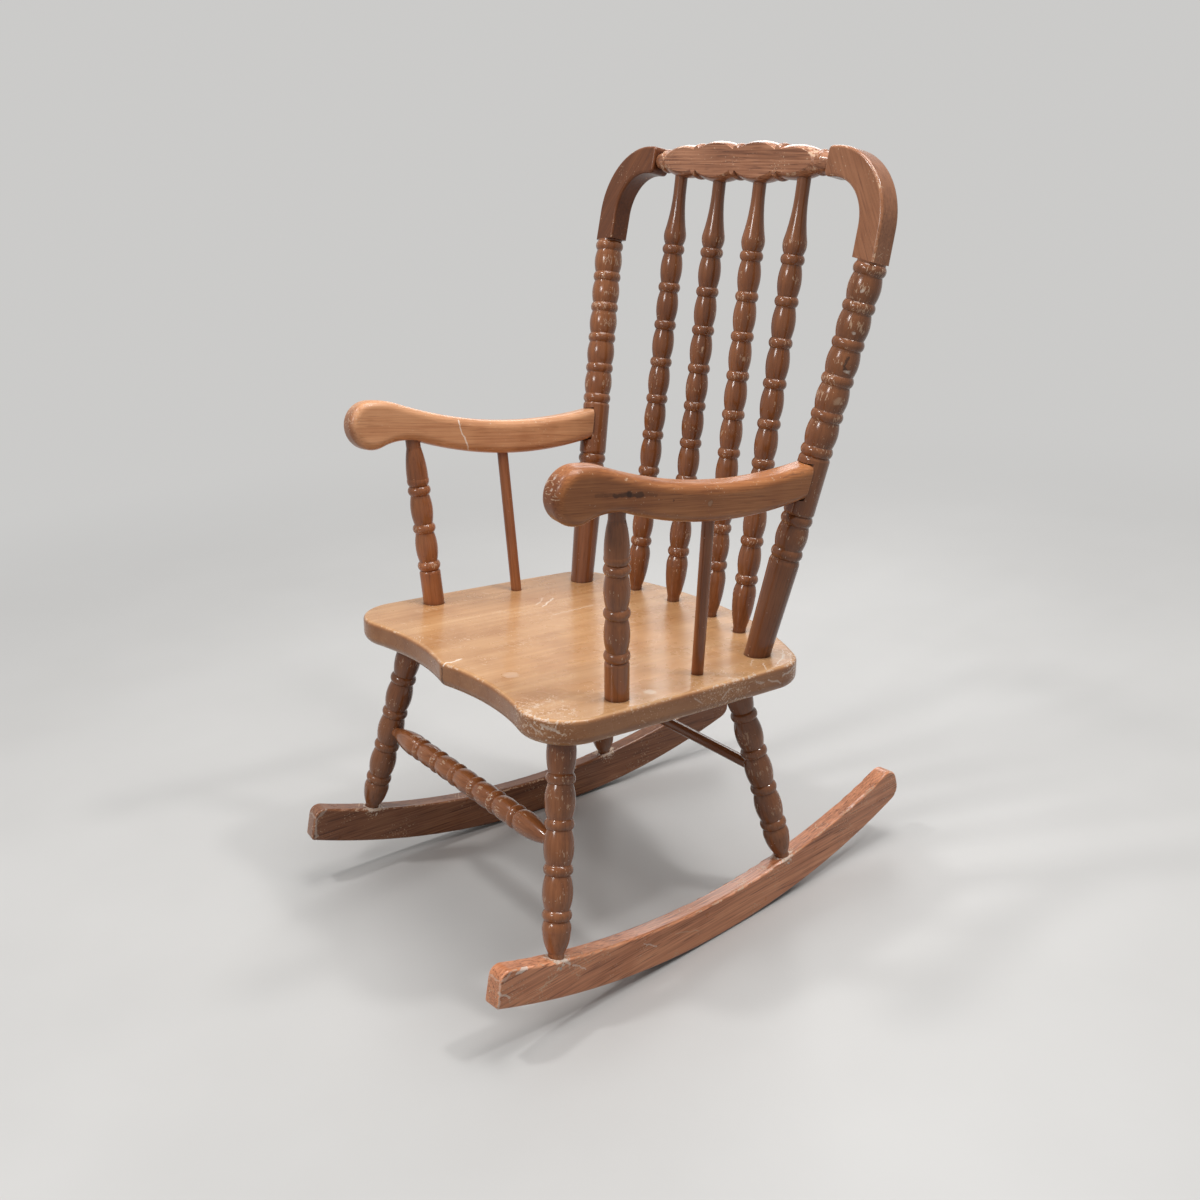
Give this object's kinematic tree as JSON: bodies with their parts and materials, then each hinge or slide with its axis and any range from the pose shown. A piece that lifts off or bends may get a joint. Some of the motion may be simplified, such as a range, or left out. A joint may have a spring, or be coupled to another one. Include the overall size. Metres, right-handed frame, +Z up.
{
  "type": "spindle-back rocking chair",
  "caption": "Child's spindle-back rocking chair with bobbin-turned posts, legs and spindles, shaped solid seat, curved arms and bent rockers; it rocks to and fro on the floor.",
  "frame": {"origin": "on the floor, midway between the two rockers and midway between their front and rear tips", "axes": "+Z up, -Y the way a sitter faces, +X to the sitter's left"},
  "size_m": [0.4106, 0.5303, 0.7145],
  "materials": {
    "seat_wood": "glossy honey-brown varnish",
    "arm_wood": "glossy honey-brown varnish",
    "turned_wood": "glossy red-brown varnish",
    "crest_wood": "glossy red-brown varnish",
    "rocker_wood": "glossy honey-brown varnish",
    "dowel_wood": "bare",
    "steel": "bare"
  },
  "bodies": {
    "root": {"arm_dowel_left": "turned_wood", "arm_dowel_right": "turned_wood", "arm_left": "arm_wood", "arm_post_left": "turned_wood", "arm_post_right": "turned_wood", "arm_right": "arm_wood", "arm_screws": "steel", "back_post_left": "turned_wood", "back_post_right": "turned_wood", "crest_dowels": "dowel_wood", "crest_rail": "crest_wood", "front_stretcher": "turned_wood", "leg_front_left": "turned_wood", "leg_front_right": "turned_wood", "leg_rear_left": "turned_wood", "leg_rear_right": "turned_wood", "rear_stretcher": "turned_wood", "rocker_left": "rocker_wood", "rocker_pins": "steel", "rocker_right": "rocker_wood", "seat": "seat_wood", "shoulder_bracket_left": "crest_wood", "shoulder_bracket_right": "crest_wood", "spindle_1": "turned_wood", "spindle_2": "turned_wood", "spindle_3": "turned_wood", "spindle_4": "turned_wood"}
  },
  "joints": []
}
